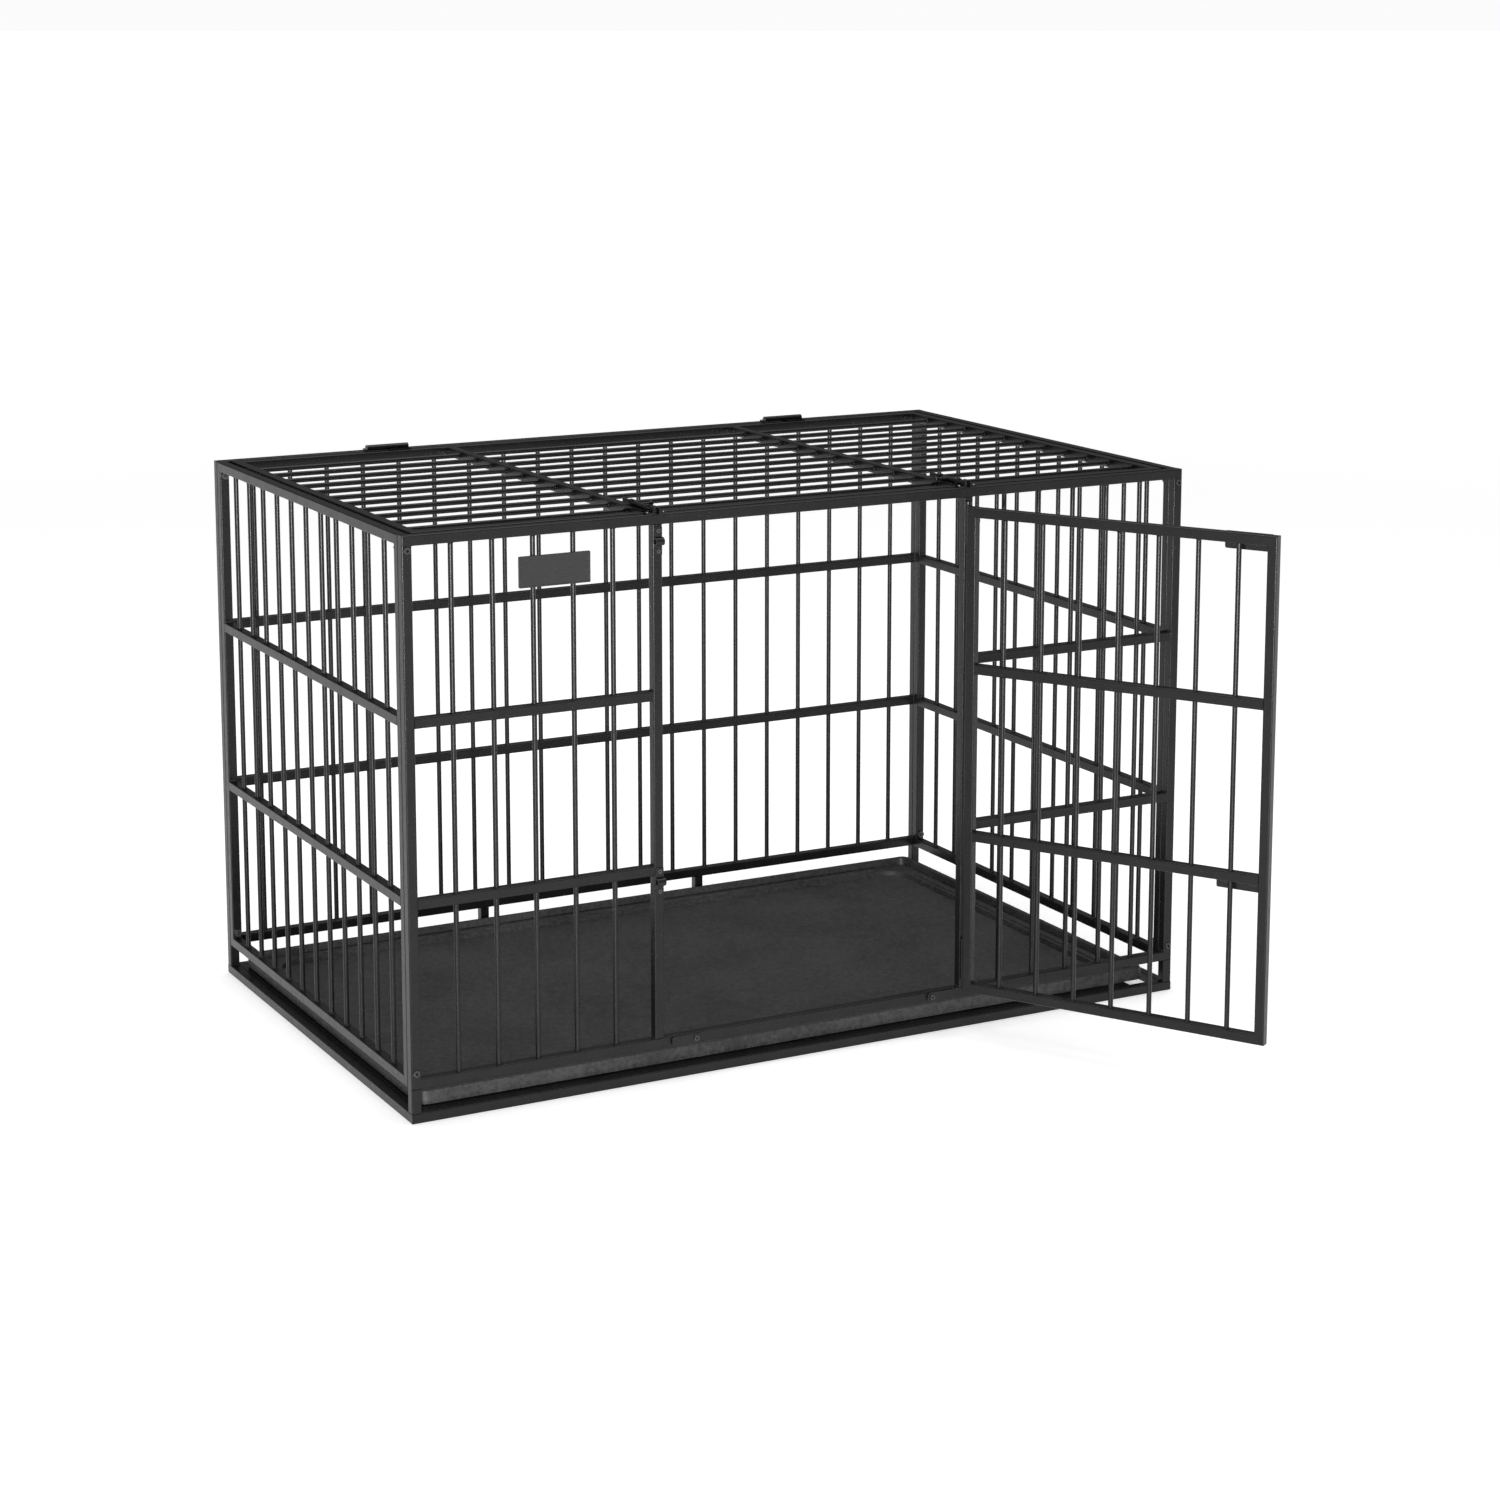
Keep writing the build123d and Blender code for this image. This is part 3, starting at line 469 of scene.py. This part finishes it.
# ------------------------------------------------------------------ floor, light and camera
bm = bmesh.new()
corners = [bm.verts.new((x * FLOOR_HALF, y * FLOOR_HALF, 0.0)) for x, y in ((-1, -1), (1, -1), (1, 1), (-1, 1))]
bm.faces.new(corners)
floor_mesh = bpy.data.meshes.new("floor")
bm.to_mesh(floor_mesh)
bm.free()
floor = bpy.data.objects.new("floor", floor_mesh)
bpy.context.scene.collection.objects.link(floor)
floor_look, floor_tree, floor_shader = new_material("floor_pale")
floor_shader.inputs["Base Color"].default_value = (0.88, 0.88, 0.88, 1)
floor_shader.inputs["Roughness"].default_value = 0.95
floor_shader.inputs["Specular IOR Level"].default_value = 0.05
floor_shader.inputs["Emission Color"].default_value = (1, 1, 1, 1)
away = floor_tree.nodes.new("ShaderNodeVectorMath")
away.operation = "LENGTH"
floor_tree.links.new(floor_tree.nodes.new("ShaderNodeTexCoord").outputs["Object"], away.inputs[0])
fade = floor_tree.nodes.new("ShaderNodeMapRange")
fade.interpolation_type = "SMOOTHSTEP"
fade.inputs["From Min"].default_value = FLOOR_NEAR
fade.inputs["From Max"].default_value = FLOOR_FAR
fade.inputs["To Min"].default_value = GLOW_NEAR
fade.inputs["To Max"].default_value = GLOW_FAR
floor_tree.links.new(away.outputs["Value"], fade.inputs["Value"])
floor_tree.links.new(fade.outputs["Result"], floor_shader.inputs["Emission Strength"])
floor_mesh.materials.append(floor_look)

# A tall soft sky: bright overhead and dim towards the horizon, so that the tubes keep dark sides.
# The backdrop itself is seen as an even pale grey.
world = bpy.data.worlds.new("studio")
bpy.context.scene.world = world
world.use_nodes = True
sky_tree = world.node_tree
background = sky_tree.nodes["Background"]
height = sky_tree.nodes.new("ShaderNodeSeparateXYZ")
sky_tree.links.new(sky_tree.nodes.new("ShaderNodeTexCoord").outputs["Generated"], height.inputs[0])
sky_tones = [(0.0, grey(0.05)), (0.35, grey(0.15)), (0.7, grey(0.5)), (1.0, grey(0.8))]
sky = ramp(sky_tree, height.outputs["Z"], sky_tones)
seen = sky_tree.nodes.new("ShaderNodeLightPath").outputs["Is Camera Ray"]
sky_tree.links.new(mix(sky_tree, seen, sky, grey(0.97)), background.inputs["Color"])
background.inputs["Strength"].default_value = 1.0
bpy.context.scene.view_settings.view_transform = "Standard"


def softbox(name, location, target, size, power):
    """Rectangular lamp in watts, aimed at a point and unseen by the camera."""
    light = bpy.data.lights.new(name, "AREA")
    light.shape = "RECTANGLE"
    light.size = size[0]
    light.size_y = size[1]
    light.energy = power
    lamp = bpy.data.objects.new(name, light)
    lamp.location = location
    aim = Vector(target) - Vector(location)
    lamp.rotation_euler = aim.to_track_quat("-Z", "Y").to_euler()
    lamp.visible_camera = False
    bpy.context.scene.collection.objects.link(lamp)


softbox("overhead", (0.2, 0.4, 4.4), (0, 0, 0.4), (4.0, 3.4), 90)
softbox("low_key", (-2.45, -4.75, 0.45), (0, 0, 0.4), (0.7, 0.8), 330)

yaw = math.radians(CAMERA_YAW)
pitch = math.radians(CAMERA_PITCH)
forward = Vector((math.sin(yaw) * math.cos(pitch), math.cos(yaw) * math.cos(pitch), -math.sin(pitch)))
lens = bpy.data.cameras.new("camera")
lens.sensor_width = 36
lens.lens = CAMERA_LENS
lens.shift_y = CAMERA_SHIFT
lens.clip_end = 100
camera = bpy.data.objects.new("camera", lens)
camera.location = CAMERA_AT
camera.rotation_euler = forward.to_track_quat("-Z", "Y").to_euler()
bpy.context.scene.collection.objects.link(camera)
bpy.context.scene.camera = camera

bpy.context.view_layer.update()
